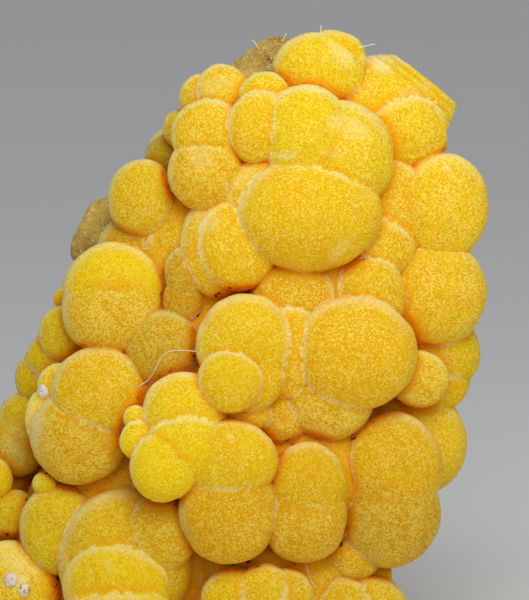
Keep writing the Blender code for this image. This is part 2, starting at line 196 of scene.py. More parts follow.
BACK_EDGE = [
    (3.9, 28.3, -2.2, 1.3, 1.4),
    (6.0, 27.5, -2.6, 1.5, 1.5),
    (7.9, 24.6, -2.4, 1.6, 1.6),
    (8.2, 21.2, -2.4, 1.4, 1.5),
    (8.0, 17.3, -3.0, 1.7, 1.6),
    (7.4, 13.6, -3.3, 1.5, 1.6),
    (6.9, 9.6, -3.2, 1.9, 1.8),
    (6.4, 5.2, -3.4, 1.5, 1.6),
    (6.4, 1.6, -3.2, 1.8, 1.8),
    (-3.4, 23.0, -2.2, 1.4, 1.4),
    (-6.4, 17.4, -2.6, 1.5, 1.5),
    (-8.6, 12.9, -2.6, 1.7, 1.6),
    (-10.0, 8.6, -2.6, 1.6, 1.7),
    (-10.5, 4.6, -3.0, 1.9, 1.8),
    (-10.4, 1.0, -3.0, 1.7, 1.7),
]
FILLING = [
    (3.5, 24.0, 4.9, 4.6, 4.8),
    (4.5, 17.0, 5.4, 5.0, 5.4),
    (-2.0, 20.0, 4.6, 4.4, 5.0),
    (-3.0, 14.5, 4.95, 5.6, 5.8),
    (3.5, 9.0, 5.6, 5.0, 5.0),
    (-5.0, 6.0, 4.5, 6.2, 6.4),
    (2.0, 3.0, 5.3, 5.4, 5.0),
    (-6.0, -0.5, 4.4, 6.0, 4.5),
    (1.5, -1.0, 4.4, 6.5, 4.5),
]
FRONT_DOMES = (CROWN + SHOULDER + GREAT_DOME + RIGHT_FLANK + CENTRE + UPPER_LEFT + LEFT_CLUSTER + LOWER_RIGHT
               + FOOT + BELOW_THE_PICTURE)
SIDE_DOMES = RIGHT_SIDE + LEFT_SIDE + BACK_EDGE

# Every lump of rock is (middle across, middle up, middle out, half width, half height, half depth)
ROCK_LUMPS = [
    (-2.6, 4.5, -3.2, 8.6, 9.5, 4.0),
    (0.2, 14.5, -3.4, 7.6, 9.0, 3.9),
    (3.0, 22.5, -3.0, 5.4, 7.0, 3.5),
    (-4.6, 19.5, -2.8, 3.2, 3.6, 2.4),
]
ROCK_ROUGHNESS = 0.2
ROCK_GRAIN = 0.42

# The flat-sided chips of rock that stand out of the crust, by the corners (across, up, out) of each
SIDE_CHIP = [
    (-6.3, 23.2, 1.4), (-7.45, 22.85, 0.9), (-7.95, 21.6, 0.9), (-8.5, 20.8, 0.5), (-8.55, 20.3, 0.4),
    (-8.1, 19.6, 0.9), (-5.6, 19.4, 1.9), (-5.4, 22.8, 1.9), (-6.0, 23.4, -2.4), (-7.6, 22.6, -2.2),
    (-8.3, 20.7, -2.4), (-7.8, 19.3, -2.6), (-5.0, 19.5, -3.0), (-5.0, 22.6, -3.0),
]
CROWN_CHIP = [
    (-0.9, 29.3, 2.4), (0.0, 29.95, 2.0), (1.1, 31.0, 1.5), (1.6, 31.2, 1.3), (2.3, 31.15, 1.3),
    (3.0, 30.6, 1.8), (1.6, 29.0, 3.6), (0.3, 28.6, 3.6), (-0.8, 28.6, 3.0), (-0.4, 29.4, -1.8),
    (1.2, 30.7, -1.8), (2.4, 30.9, -1.8), (3.2, 29.5, -2.4), (0.6, 27.0, -2.6), (-0.6, 27.6, -2.2),
]

# The broken upper right plate ends in a slope through its corner, and in a short side down from there
BREAK_CORNER = (10.95, 27.8)
BREAK_SLOPE = -38.8
BREAK_SIDE = (10.35, 26.5)

# Every clear crystal is (foot across, foot up, foot out, half width, length, lean across, lean up)
UPPER_CRYSTALS = [
    (-9.75, 13.15, 4.05, 0.34, 1.1, -0.15, 0.75),
]
LOWER_CRYSTALS = [
    (-11.3, 3.85, 4.05, 0.38, 1.2, -0.3, 0.35),
    (-10.9, 3.55, 4.1, 0.34, 1.05, 0.3, -0.1),
]


# How each front dome looks, in the order of the tables: (lemon rather than golden, grain, how bright it is);
# how bright is partly the dome's own tone and partly painted shade, darkest on the domes set far back
CROWN_LOOKS = [(0.75, 0.45, 1.0), (0.7, 0.5, 1.0)]
SHOULDER_LOOKS = [
    (0.6, 0.6, 1.0), (0.6, 0.6, 0.95), (0.5, 0.7, 0.9), (0.5, 0.7, 0.95), (0.35, 0.8, 0.9),
    (0.6, 0.6, 0.75), (0.8, 0.5, 0.5), (0.8, 0.5, 0.55),
]
GREAT_DOME_LOOKS = [
    (0.5, 0.45, 1.0), (0.5, 0.8, 1.0), (0.8, 0.45, 1.0), (0.5, 0.5, 1.0), (0.7, 0.6, 1.0),
    (0.45, 0.6, 1.0), (0.4, 0.9, 0.95), (0.3, 0.9, 0.8),
]
RIGHT_FLANK_LOOKS = [
    (0.6, 0.6, 1.0), (0.6, 0.6, 1.0), (0.55, 0.7, 1.0), (0.5, 0.8, 0.95), (0.6, 0.5, 0.85),
    (0.6, 0.6, 0.9), (0.4, 1.0, 0.9), (0.6, 0.6, 0.9), (0.3, 0.7, 0.95), (0.35, 0.7, 0.95),
    (0.4, 0.7, 0.93), (0.3, 0.8, 0.88), (0.3, 0.6, 0.9),
]
CENTRE_LOOKS = [
    (0.6, 0.45, 0.94), (0.5, 0.5, 0.94), (0.6, 0.35, 0.93), (0.4, 0.5, 0.95), (0.35, 0.5, 0.95),
    (0.15, 1.1, 0.85), (0.2, 0.9, 0.85), (0.3, 0.8, 0.9),
]
UPPER_LEFT_LOOKS = [
    (0.65, 0.65, 0.85), (0.3, 0.8, 0.7), (1.1, 0.25, 0.95), (0.35, 1.1, 0.85), (0.3, 1.1, 0.72),
    (0.2, 0.9, 0.7), (0.2, 0.9, 0.7), (0.6, 0.4, 0.8), (0.8, 0.4, 0.78), (0.9, 0.3, 0.72),
    (1.0, 0.2, 0.7), (0.7, 0.5, 0.72), (0.6, 0.7, 0.68),
]
LEFT_CLUSTER_LOOKS = [
    (0.5, 0.5, 0.88), (0.7, 1.0, 0.95), (1.0, 0.6, 0.95), (0.3, 1.0, 0.8), (0.7, 0.5, 1.0),
    (0.9, 0.6, 1.0), (0.9, 0.4, 1.0), (0.95, 0.2, 0.98), (0.55, 0.35, 0.92), (0.95, 0.25, 0.98),
    (0.3, 0.6, 0.82),
]
LOWER_RIGHT_LOOKS = [
    (0.5, 0.4, 0.84), (0.35, 0.8, 0.8), (0.4, 0.5, 0.84), (0.1, 1.1, 0.7), (0.2, 0.9, 0.8),
    (0.4, 0.5, 0.8),
]
FOOT_LOOKS = [
    (1.0, 0.3, 0.8), (0.75, 0.5, 0.8), (0.55, 0.6, 0.82), (0.7, 0.25, 0.9), (0.7, 0.25, 0.92),
    (0.4, 0.7, 0.78), (0.85, 0.9, 0.92), (0.7, 0.5, 0.75), (0.8, 0.2, 0.85), (0.6, 0.5, 0.85),
    (0.6, 0.5, 0.85), (0.5, 0.7, 0.82), (0.5, 0.7, 0.8), (0.7, 0.5, 0.8),
]
LOOKS = (CROWN_LOOKS + SHOULDER_LOOKS + GREAT_DOME_LOOKS + RIGHT_FLANK_LOOKS + CENTRE_LOOKS + UPPER_LEFT_LOOKS
         + LEFT_CLUSTER_LOOKS + LOWER_RIGHT_LOOKS + FOOT_LOOKS)
OTHER_LOOKS = (0.5, 0.6, 0.9)

# Where the front is pale: (across, up, half width, half height, turned by, strength); the tiny spot at (-0.4,
# 11.2) is a painted highlight
PALE_PATCHES = [
    (7.0, 29.75, 0.65, 0.35, -35.0, 0.9), (6.6, 30.1, 0.7, 0.25, 0.0, 0.8),
    (8.5, 28.35, 0.9, 0.22, -5.0, 0.5), (9.3, 28.7, 0.35, 0.2, -35.0, 0.6),
    (5.4, 26.6, 1.3, 0.55, -20.0, 0.45), (3.6, 28.5, 1.2, 0.3, -5.0, 0.35),
    (2.1, 25.15, 0.9, 0.18, 0.0, 0.6), (4.7, 25.25, 0.8, 0.15, 0.0, 0.4),
    (-1.9, 25.1, 0.7, 0.9, 40.0, 0.35), (0.0, 24.0, 0.35, 1.2, -40.0, 0.35),
    (-1.6, 22.0, 0.8, 0.8, 0.0, 0.4), (-0.5, 23.2, 0.25, 1.0, 20.0, 0.35),
    (4.9, 20.4, 0.3, 1.1, -40.0, 0.3), (10.3, 24.6, 0.2, 0.2, 0.0, 0.8),
    (-1.5, 28.6, 1.4, 0.5, 20.0, 0.3), (-10.2, 12.0, 0.55, 1.3, 0.0, 0.6),
    (-10.15, 11.65, 0.3, 0.6, 0.0, 0.5), (-7.65, 8.0, 0.15, 0.15, 0.0, 0.5),
    (-7.65, 12.95, 0.13, 0.13, 0.0, 0.9), (-5.5, 14.85, 0.15, 0.15, 0.0, 0.9),
    (-0.4, 11.2, 0.12, 0.12, 0.0, 1.0), (-11.2, 4.9, 0.9, 0.5, -20.0, 0.5),
    (-11.0, 4.0, 0.55, 0.45, 0.0, 0.9), (-10.2, 4.7, 0.5, 0.25, 45.0, 0.6),
    (-6.45, 4.75, 0.2, 0.3, 0.0, 0.45), (-11.2, 10.8, 0.9, 1.2, 0.0, 0.3),
    (-10.6, 9.0, 0.9, 0.5, 0.0, 0.25),
]
PATCH_EDGE = (0.45, 1.15)

# Lint caught on the front, as the places (across, up) that each fibre passes
LINT = [
    [(-5.15, 13.65), (-4.75, 13.85), (-4.45, 14.1), (-4.15, 14.65), (-3.95, 15.15), (-3.65, 15.4),
     (-3.3, 15.5), (-2.8, 15.5), (-2.15, 15.45)],
    [(3.3, 4.9), (3.35, 4.55), (3.4, 4.25), (3.6, 3.9), (3.8, 3.65)],
    [(3.95, 31.0), (4.05, 31.35), (4.05, 31.75)],
    [(5.95, 30.6), (6.3, 30.75), (6.75, 30.8)],
    [(0.95, 30.6), (0.8, 30.9), (0.6, 31.1)],
    [(2.15, 31.0), (2.2, 31.25), (2.35, 31.45)],
]
LINT_THICKNESS = 0.05
LINT_CLEAR = 0.05
LINT_START = 40.0
# The way the lit upper left lies, which the painted sheen on the crust's rims follows
UPPER_LEFT_WAY = (-0.45, 0.0, 0.89)
PLATE = len(CROWN + SHOULDER + GREAT_DOME)
FIRST_FILLING = len(FRONT_DOMES + SIDE_DOMES)

# The fine finish of the domes and of the rock, in millimetres, degrees and rounds of subdivision
FINE_DOME = 1.35
FINE_FINISH = 5
COARSE_FINISH = 4
CHIP_CUTS = 9
CRUST_TRIANGLES = 190000
ROCK_OVERLAP = 0.08
CRYSTAL_FOOT = 0.25
CUTTER_SIZE = 60.0
BREAK_STEP = 1.1
FOOT_BAND = 0.01
ROCK_FOOT_BAND = 0.02
DOME_SHARP = 38.0
ROCK_SHARP = 30.0
CRYSTAL_SHARP = 20.0
CRYSTAL_TIP = 0.45
CRYSTAL_BEVEL = 0.02
SMALL_LUMPS = (0.5, 2.3)
WARPS = [(0.11, 2.6), (0.05, 0.9)]
ROCK_RELIEF = [(0.22, 1.3), (0.12, 0.5)]
SHELTER_STEPS = (0.5, 1.2, 2.5)
GRAIN_HEIGHT = 0.012
SEED = 7
BLEND = 0.06
FAR = 9.0


def at_face(across, up, out):
    """The world position of a point given across the leaning face, up it and out of it, in millimetres."""
    lean = math.radians(LEAN)
    behind = up * math.sin(lean) - out * math.cos(lean)
    height = up * math.cos(lean) + out * math.sin(lean)
    return Vector((across - FOOT_ACROSS, behind - FOOT_BEHIND, height)) * MILLIMETRE


def face_turn():
    """The turn that lays Z up along the leaning face, X across it and Y into it."""
    return Matrix.Rotation(-math.radians(LEAN), 4, "X")


def object_from(shape, name):
    mesh = bpy.data.meshes.new(name)
    shape.to_mesh(mesh)
    shape.free()
    made = bpy.data.objects.new(name, mesh)
    bpy.context.scene.collection.objects.link(made)
    return made


def as_seen(source, name):
    """A new object with the source's mesh as its modifiers leave it; the source is removed."""
    bpy.context.view_layer.update()
    depsgraph = bpy.context.evaluated_depsgraph_get()
    mesh = bpy.data.meshes.new_from_object(source.evaluated_get(depsgraph))
    mesh.materials.clear()
    bpy.data.objects.remove(source)
    made = bpy.data.objects.new(name, mesh)
    bpy.context.scene.collection.objects.link(made)
    return made


def joined(objects, name):
    """One closed solid from several that overlap."""
    first = objects[0]
    others = bpy.data.collections.new(name + "_others")
    for other in objects[1:]:
        others.objects.link(other)
    union = first.modifiers.new("Join", "BOOLEAN")
    union.operation = "UNION"
    union.solver = "MANIFOLD"
    union.operand_type = "COLLECTION"
    union.collection = others
    made = as_seen(first, name)
    for old in objects[1:]:
        bpy.data.objects.remove(old)
    bpy.data.collections.remove(others)
    return made


def cut_away(target, cutters, name):
    """The target less the cutters, which are removed."""
    for cutter in cutters:
        cut = target.modifiers.new(cutter.name, "BOOLEAN")
        cut.operation = "DIFFERENCE"
        cut.solver = "MANIFOLD"
        cut.object = cutter
    made = as_seen(target, name)
    for cutter in cutters:
        bpy.data.objects.remove(cutter)
    return made


def box_cutter(name, matrix, size):
    shape = bmesh.new()
    bmesh.ops.create_cube(shape, size=1.0)
    bmesh.ops.transform(shape, matrix=matrix @ Matrix.Diagonal((*size, 1.0)), verts=shape.verts)
    return object_from(shape, name)


def ground_cutter():
    """Everything below the flat cut that the specimen stands on."""
    side = CUTTER_SIZE * MILLIMETRE
    return box_cutter("ground", Matrix.Translation((0.0, 0.0, -side / 2)), (side, side, side))


def break_cutters():
    """The clean breaks that end the upper right plate."""
    side = CUTTER_SIZE * MILLIMETRE
    slope = Matrix.Rotation(-math.radians(BREAK_SLOPE), 4, "Y")
    corner = Matrix.Translation(at_face(*BREAK_CORNER, 0.0)) @ face_turn()
    above = corner @ slope @ Matrix.Translation((0.0, 0.0, side / 2))
    sloping = box_cutter("sloping_break", above, (side, side, side))
    edge = Vector(BREAK_CORNER) - Vector(BREAK_SIDE)
    length = edge.length * MILLIMETRE
    slant = Matrix.Rotation(math.atan2(edge.x, edge.y), 4, "Y")
    foot = Matrix.Translation(at_face(*BREAK_SIDE, 0.0)) @ face_turn()
    beside = foot @ slant @ Matrix.Translation((side / 2, 0.0, length))
    steep = box_cutter("steep_break", beside, (side, side, 2 * length))
    step = BREAK_STEP * MILLIMETRE
    below = foot @ Matrix.Translation((side / 2, 0.0, -step / 2))
    upright = box_cutter("upright_break", below, (side, side, step))
    return [sloping, steep, upright]


def all_domes():
    """Every dome with its depth in front of its widest place and its depth behind it."""
    front = [(row, FRONT_DEPTH * row[3], BACK_DEPTH * row[3]) for row in FRONT_DOMES]
    sides = [(row, row[3], row[3]) for row in SIDE_DOMES]
    filling = [(row, FILLING_DEPTH, FILLING_DEPTH) for row in FILLING]
    return front + sides + filling


def dome(row, front_depth, back_depth, number):
    """One round dome of the crust, shallow in front and finer the larger it is."""
    across, up, front, half_width, half_height = row
    finish = FINE_FINISH if FINE_DOME < half_width and front_depth < FILLING_DEPTH else COARSE_FINISH
    shape = bmesh.new()
    bmesh.ops.create_icosphere(shape, subdivisions=finish, radius=1.0)
    for corner in shape.verts:
        depth = front_depth if corner.co.y < 0.0 else back_depth
        x, y, z = corner.co
        corner.co = Vector((x * half_width, y * depth, z * half_height)) * MILLIMETRE
    place = Matrix.Translation(at_face(across, up, front - front_depth)) @ face_turn()
    bmesh.ops.transform(shape, matrix=place, verts=shape.verts)
    return object_from(shape, f"dome_{number}")


def rock_lump(row, number, grow, finish):
    """One lump of the rough matrix, grown or shrunk all round where it serves as a cutter."""
    across, up, out, half_width, half_height, half_depth = row
    shape = bmesh.new()
    bmesh.ops.create_icosphere(shape, subdivisions=finish, radius=MILLIMETRE)
    half_sizes = (half_width + grow, half_depth + grow, half_height + grow)
    roughness = ROCK_ROUGHNESS * half_width
    smaller, closer = SMALL_LUMPS
    for corner in shape.verts:
        direction = corner.co.normalized()
        sample = Vector([part * size for part, size in zip(direction, (half_width, half_depth, half_height))])
        swell = roughness * noise.noise(sample * ROCK_GRAIN + Vector((number, 0.0, 0.0)))
        swell += smaller * roughness * noise.noise(sample * closer * ROCK_GRAIN)
        corner.co = Vector([part * (size + swell) for part, size in zip(direction, half_sizes)]) * MILLIMETRE
    place = Matrix.Translation(at_face(across, up, out)) @ face_turn()
    bmesh.ops.transform(shape, matrix=place, verts=shape.verts)
    return object_from(shape, f"rock_{number}")


def rock_chip(corners, name, grow, cuts):
    """A flat-sided chip of rock around the corners given, cut up finely enough to be roughened."""
    middle = sum((Vector(corner) for corner in corners), Vector()) / len(corners)
    shape = bmesh.new()
    for corner in corners:
        away = Vector(corner) - middle
        shape.verts.new(at_face(*(middle + away + grow * away.normalized())))
    hull = bmesh.ops.convex_hull(shape, input=shape.verts)
    bmesh.ops.delete(shape, geom=list(set(hull["geom_interior"] + hull["geom_unused"])), context="VERTS")
    if cuts:
        bmesh.ops.subdivide_edges(shape, edges=shape.edges, cuts=cuts, use_grid_fill=True)
        bmesh.ops.triangulate(shape, faces=shape.faces)
    return object_from(shape, name)


def rock_pieces(grow, finish, cuts):
    """Every lump and chip of the matrix."""
    lumps = [rock_lump(row, n, grow, finish) for n, row in enumerate(ROCK_LUMPS)]
    return lumps + [
        rock_chip(SIDE_CHIP, "side_chip", grow, cuts),
        rock_chip(CROWN_CHIP, "crown_chip", grow, cuts),
    ]


def corners_of(mesh):
    """The mesh's corners as an array, in metres."""
    places = np.empty(len(mesh.vertices) * 3)
    mesh.vertices.foreach_get("co", places)
    return places.reshape(-1, 3)


def normals_of(mesh):
    normals = np.empty(len(mesh.vertices) * 3)
    mesh.vertex_normals.foreach_get("vector", normals)
    return normals.reshape(-1, 3)


def set_corners(mesh, places):
    mesh.vertices.foreach_set("co", places.ravel())
    mesh.update()


def set_value(mesh, name, values):
    """One number for each corner, which the materials read by name."""
    layer = mesh.attributes.new(name, "FLOAT", "POINT")
    layer.data.foreach_set("value", values.astype(np.float32))


def dome_distances(places):
    """Each corner's distance outside every dome, in millimetres; below 0 it lies inside."""
    domes = all_domes()
    distances = np.empty((len(places), len(domes)), dtype=np.float32)
    turn = np.array(face_turn().to_3x3())
    for number, (row, front_depth, back_depth) in enumerate(domes):
        middle = np.array(at_face(row[0], row[1], row[2] - front_depth))
        local = (places - middle) @ turn / MILLIMETRE
        sizes = np.stack([
            np.full(len(local), row[3]),
            np.where(local[:, 1] < 0.0, front_depth, back_depth),
            np.full(len(local), row[4]),
        ], axis=1)
        reach = np.linalg.norm(local / sizes, axis=1)
        steepness = np.linalg.norm(local / sizes ** 2, axis=1)
        distances[:, number] = reach * (reach - 1.0) / np.maximum(steepness, 0.001)
    return distances


def face_places(places):
    """The corners across the face, up it and out of it, in millimetres."""
    lean = math.radians(LEAN)
    across = places[:, 0] / MILLIMETRE + FOOT_ACROSS
    behind = places[:, 1] / MILLIMETRE + FOOT_BEHIND
    high = places[:, 2] / MILLIMETRE
    up = behind * math.sin(lean) + high * math.cos(lean)
    return across, up, high * math.sin(lean) - behind * math.cos(lean)


def paleness(places):
    """How pale each corner is, from the patches of the front."""
    across, up, out = face_places(places)
    pale = np.zeros(len(places))
    for middle, height, half_width, half_height, turn, strength in PALE_PATCHES:
        angle = math.radians(turn)
        along = (across - middle) * math.cos(angle) + (up - height) * math.sin(angle)
        beside = (up - height) * math.cos(angle) - (across - middle) * math.sin(angle)
        far = np.hypot(along / half_width, beside / half_height)
        pale = np.maximum(pale, strength * (1.0 - smoothstep(far, *PATCH_EDGE)))
    return np.where(out > 0.0, pale, 0.0)


def rim_nearness(places, owners):
    """How near each corner is to the outer rim of its own dome, from 0 in the middle to 1."""
    rows = np.array([parts[0] for parts in all_domes()])[owners]
    across, up, out = face_places(places)
    return np.hypot((across - rows[:, 0]) / rows[:, 3], (up - rows[:, 1]) / rows[:, 4])


def below_break(places):
    """How far each corner lies below the sloping break, in millimetres."""
    across, up, out = face_places(places)
    slope = math.radians(-BREAK_SLOPE)
    return -(across - BREAK_CORNER[0]) * math.sin(slope) - (up - BREAK_CORNER[1]) * math.cos(slope)


def shelter(places, normals):
    """How much the domes close in around each corner: 0 out in the open, 1 deep in a gap."""
    found = np.zeros(len(places))
    for step in SHELTER_STEPS:
        ahead = places + normals * step * MILLIMETRE
        clear = dome_distances(ahead).min(axis=1)
        found += np.clip(1.0 - clear / step, 0.0, 1.0)
    return found / len(SHELTER_STEPS)


def warp(places):
    """Bends the ideal domes a little, so that none stays a perfect ball; the foot stays flat."""
    moved = places.copy()
    noise.seed_set(SEED)
    for number, corner in enumerate(places):
        point = Vector(corner) / MILLIMETRE
        shift = Vector()
        for height, length in WARPS:
            shift += height * noise.noise_vector(point / length)
        moved[number] += np.array(shift) * MILLIMETRE
    standing = places[:, 2] < FOOT_BAND * MILLIMETRE
    moved[standing, 2] = 0.0
    moved[:, 2] = np.maximum(moved[:, 2], 0.0)
    return moved


def smoothstep(values, low, high):
    part = np.clip((values - low) / (high - low), 0.0, 1.0)
    return part * part * (3.0 - 2.0 * part)


def make_crust():
    """The fused domes as one closed surface, with what the material needs to know at each corner."""
    blank = joined([dome(*parts, n) for n, parts in enumerate(all_domes())], "crust_blank")
    bed = joined(rock_pieces(-ROCK_OVERLAP, COARSE_FINISH, 0), "bed")
    crust = cut_away(blank, [bed, *break_cutters(), ground_cutter()], "crust_cut")
    fewer = crust.modifiers.new("Fewer", "DECIMATE")
    faces = sum(len(face.vertices) - 2 for face in crust.data.polygons)
    fewer.ratio = min(1.0, CRUST_TRIANGLES / faces)
    crust = as_seen(crust, "velvety_domes")
    mesh = crust.data
    places = corners_of(mesh)
    distances = dome_distances(places)
    order = np.argsort(distances, axis=1)[:, :2]
    nearest = np.take_along_axis(distances, order, axis=1)
    first, second = order[:, 0], order[:, 1]
    looks = np.array(LOOKS + [OTHER_LOOKS] * (distances.shape[1] - len(LOOKS)))
    share = 1.0 / (1.0 + np.exp(-(nearest[:, 1] - nearest[:, 0]) / BLEND))
    for column, name in enumerate(("lemon", "grain", "tone_and_shade")):
        set_value(mesh, name, share * looks[first, column] + (1.0 - share) * looks[second, column])
    set_value(mesh, "crease", np.maximum(nearest[:, 1], 0.0))
    set_value(mesh, "shelter", shelter(places, normals_of(mesh)))
    rim = rim_nearness(places, first)
    set_value(mesh, "rim", rim)
    set_value(mesh, "proud", rim - rim_nearness(places, second))
    set_value(mesh, "pale", paleness(places))
    # How much each corner faces the lit upper left, for the painted sheen on the rims
    set_value(mesh, "lit", normals_of(mesh) @ np.array(UPPER_LEFT_WAY))
    # The filling domes, which the material paints deeper orange as shade in the gaps
    set_value(mesh, "deep", np.where(first >= FIRST_FILLING, 1.0, 0.0))
    set_value(mesh, "below_break", np.where(first == PLATE, below_break(places), FAR))
    moved = warp(places)
    set_corners(mesh, moved)
    random = np.random.default_rng(SEED)
    grain = random.uniform(-1.0, 1.0, len(moved)) * GRAIN_HEIGHT * MILLIMETRE
    grain[moved[:, 2] < FOOT_BAND * MILLIMETRE] = 0.0
    set_corners(mesh, moved + normals_of(mesh) * grain[:, None])
    mesh.shade_smooth()
    mesh.set_sharp_from_angle(angle=math.radians(DOME_SHARP))
    return crust


def make_lint(under):
    """Fibres that lie on the pieces given; past their edge a fibre stays as far out as it was."""
    curve = bpy.data.curves.new("lint_curve", "CURVE")
    curve.dimensions = "3D"
    curve.bevel_depth = LINT_THICKNESS / 2 * MILLIMETRE
    curve.bevel_resolution = 1
    inward = (at_face(0.0, 0.0, 0.0) - at_face(0.0, 0.0, 1.0)).normalized()
    for places in LINT:
        spline = curve.splines.new("NURBS")
        spline.points.add(len(places) - 1)
        out = 0.0
        for point, (across, up) in zip(spline.points, places):
            start = at_face(across, up, LINT_START)
            hits = [piece.ray_cast(start, inward) for piece in under]
            depths = [(hit[1] - start).length / MILLIMETRE for hit in hits if hit[0]]
            if depths:
                out = LINT_START - min(depths) + LINT_CLEAR
            point.co = (*at_face(across, up, out), 1.0)
        spline.use_endpoint_u = True
    drawn = bpy.data.objects.new("lint_drawn", curve)
    bpy.context.scene.collection.objects.link(drawn)
    return as_seen(drawn, "lint_fibres")


def lint_material():
    """Pale cream lint."""
    made, tree, shader = new_material("lint")
    shader.inputs["Base Color"].default_value = (0.85, 0.75, 0.5, 1.0)
    shader.inputs["Roughness"].default_value = 0.6
    return made


def make_rock():
    """The rough matrix, with finer relief than the solid has."""
    rock = joined(rock_pieces(0.0, FINE_FINISH, CHIP_CUTS), "rock_blank")
    rock = cut_away(rock, [ground_cutter()], "rough_matrix")
    mesh = rock.data
    places = corners_of(mesh)
    relief = np.zeros(len(places))
    for number, corner in enumerate(places):
        point = Vector(corner) / MILLIMETRE
        for height, length in ROCK_RELIEF:
            relief[number] += height * (0.5 - abs(noise.noise(point / length)))
    relief[places[:, 2] < ROCK_FOOT_BAND * MILLIMETRE] = 0.0
    set_corners(mesh, places + normals_of(mesh) * relief[:, None] * MILLIMETRE)
    mesh.shade_smooth()
    mesh.set_sharp_from_angle(angle=math.radians(ROCK_SHARP))
    return rock


def new_material(name):
    """A material with its own nodes, its links and its Principled shader."""
    made = bpy.data.materials.new(name)
    made.use_nodes = True
    tree = made.node_tree
    return made, tree, tree.nodes["Principled BSDF"]


LEMON = (0.89, 0.67, 0.002, 1.0)
GOLDEN = (0.90, 0.44, 0.001, 1.0)
# Orange and deep orange are painted shade and glow for the creases and gaps
ORANGE = (0.95, 0.42, 0.001, 1.0)
CREAM = (1.0, 0.74, 0.1, 1.0)
# Whitish is partly the front's own pale patches and partly painted sheen on the rims and edges
WHITISH = (1.0, 0.86, 0.4, 1.0)
AMBER = (0.82, 0.42, 0.001, 1.0)
DEEP_ORANGE = (0.85, 0.25, 0.0, 1.0)
RUST = (0.12, 0.02, 0.006, 1.0)
BROWN = (0.32, 0.18, 0.03, 1.0)
OLIVE = (0.62, 0.42, 0.08, 1.0)
DUST = (0.75, 0.62, 0.40, 1.0)


class Nodes:
    """Short calls that add nodes to one material's tree."""

    def __init__(self, tree):
        self.tree = tree
        self.place = self.add("ShaderNodeTexCoord").outputs["Object"]

    def add(self, kind, **settings):
        node = self.tree.nodes.new(kind)
        for name, value in settings.items():
            setattr(node, name, value)
        return node

    def feed(self, socket, value):
        if hasattr(value, "is_linked"):
            self.tree.links.new(value, socket)
        else:
            socket.default_value = value

    def maths(self, operation, first, second=0.0, clamp=False):
        node = self.add("ShaderNodeMath", operation=operation, use_clamp=clamp)
        self.feed(node.inputs[0], first)
        self.feed(node.inputs[1], second)
        return node.outputs[0]

    def attribute(self, name):
        return self.add("ShaderNodeAttribute", attribute_name=name).outputs["Fac"]

    def noise(self, size, detail=2.0, roughness=0.5):
        """Soft noise from 0 to 1 whose patches are about this many millimetres wide."""
        node = self.add("ShaderNodeTexNoise")
        self.feed(node.inputs["Vector"], self.place)
        node.inputs["Scale"].default_value = 1.0 / (size * MILLIMETRE)
        node.inputs["Detail"].default_value = detail
        node.inputs["Roughness"].default_value = roughness
        return node.outputs["Fac"]

    def cells(self, size):
        """Random cells about this many millimetres wide, each of one random colour."""
        node = self.add("ShaderNodeTexVoronoi")
        self.feed(node.inputs["Vector"], self.place)
        node.inputs["Scale"].default_value = 1.0 / (size * MILLIMETRE)
        return node.outputs["Color"]

    def parts(self, colour):
        """The three numbers of a colour."""
        node = self.add("ShaderNodeSeparateColor")
        self.feed(node.inputs[0], colour)
        return node.outputs

    def between(self, value, low, high, start=0.0, stop=1.0):
        """The value's way from low to high, as a way from start to stop, held at both ends."""
        node = self.add("ShaderNodeMapRange", interpolation_type="SMOOTHSTEP")
        self.feed(node.inputs["Value"], value)
        node.inputs["From Min"].default_value = low
        node.inputs["From Max"].default_value = high
        node.inputs["To Min"].default_value = start
        node.inputs["To Max"].default_value = stop
        return node.outputs["Result"]

    def mix(self, factor, first, second):
        node = self.add("ShaderNodeMix", data_type="RGBA")
        self.feed(node.inputs["Factor"], factor)
        self.feed(node.inputs["A"], first)
        self.feed(node.inputs["B"], second)
        return node.outputs["Result"]

    def bump(self, height, depth, normal=None):
        """Relief of this many millimetres, on top of the relief given."""
        node = self.add("ShaderNodeBump")
        self.feed(node.inputs["Height"], height)
        node.inputs["Distance"].default_value = depth * MILLIMETRE
        node.inputs["Strength"].default_value = 1.0
        if normal:
            self.feed(node.inputs["Normal"], normal)
        return node.outputs["Normal"]


# How the crust's material reads what each corner knows: where each effect starts and is full
LEMON_BAND = (0.35, 1.1)
PATCH_BAND = (0.4, 0.65)
RIM_BAND = (0.78, 0.98)
LIT_BAND = (-0.2, 0.6)
PALE_BAND = (0.7, 1.15)
AMBER_BAND = (0.5, 1.25)
HOLLOW_BAND = (0.3, 0.8)
DEEPEST_BAND = (0.75, 1.0)
EDGE_BAND = (0.06, 0.3)
BEFORE_BAND = (0.05, 0.3)
BEHIND_BAND = (-0.05, -0.3)
LAYER_START = (0.03, 0.12)
LAYER_STOP = (0.5, 1.2)
SPECK_BAND = (0.62, 0.68)
SPECK_SHELTER = (0.8, 0.95)

# The sizes of its patches and grains, in millimetres
TONE_PATCH = 1.4
GRAIN_PATCH = 1.1
GRAIN = 0.065
GLITTER = 0.09
SPECK = 0.4
LAYER_BEND = 0.8
LAYER_WAVES = 17.0

# How far each effect goes, as a share
TONE_WANDER = 0.5
PATCH_PULL = 0.5
RIM_PULL = 0.8
EVEN_PULL = 0.5
GRAIN_PULL = 0.6
CREAM_SHARE = 0.95
RIM_SHARES = (0.25, 0.75)
PALE_SHARES = (0.35, 1.0)
EDGE_SHARES = (0.2, 0.7)
HOLLOW_SHARE = 0.75
FILLING_SHARE = 0.15
BEHIND_SHARE = 0.5
LAYER_WANDER = 0.3
LAYER_SHARE = 0.45
GLITTER_SHARE = 0.5

# Its relief, as (how wide, how deep) in millimetres
BROAD_RELIEF = (0.45, 0.05)
FINE_RELIEF = (0.11, 0.03)
LAYER_RELIEF = 0.05


def base_tone(n):
    """Lemon or golden, from each dome's own tone and soft patches."""
    lemon = n.maths("ADD", n.attribute("lemon"), n.maths("MULTIPLY", n.noise(TONE_PATCH), TONE_WANDER))
    return n.mix(n.between(lemon, *LEMON_BAND), GOLDEN, LEMON)


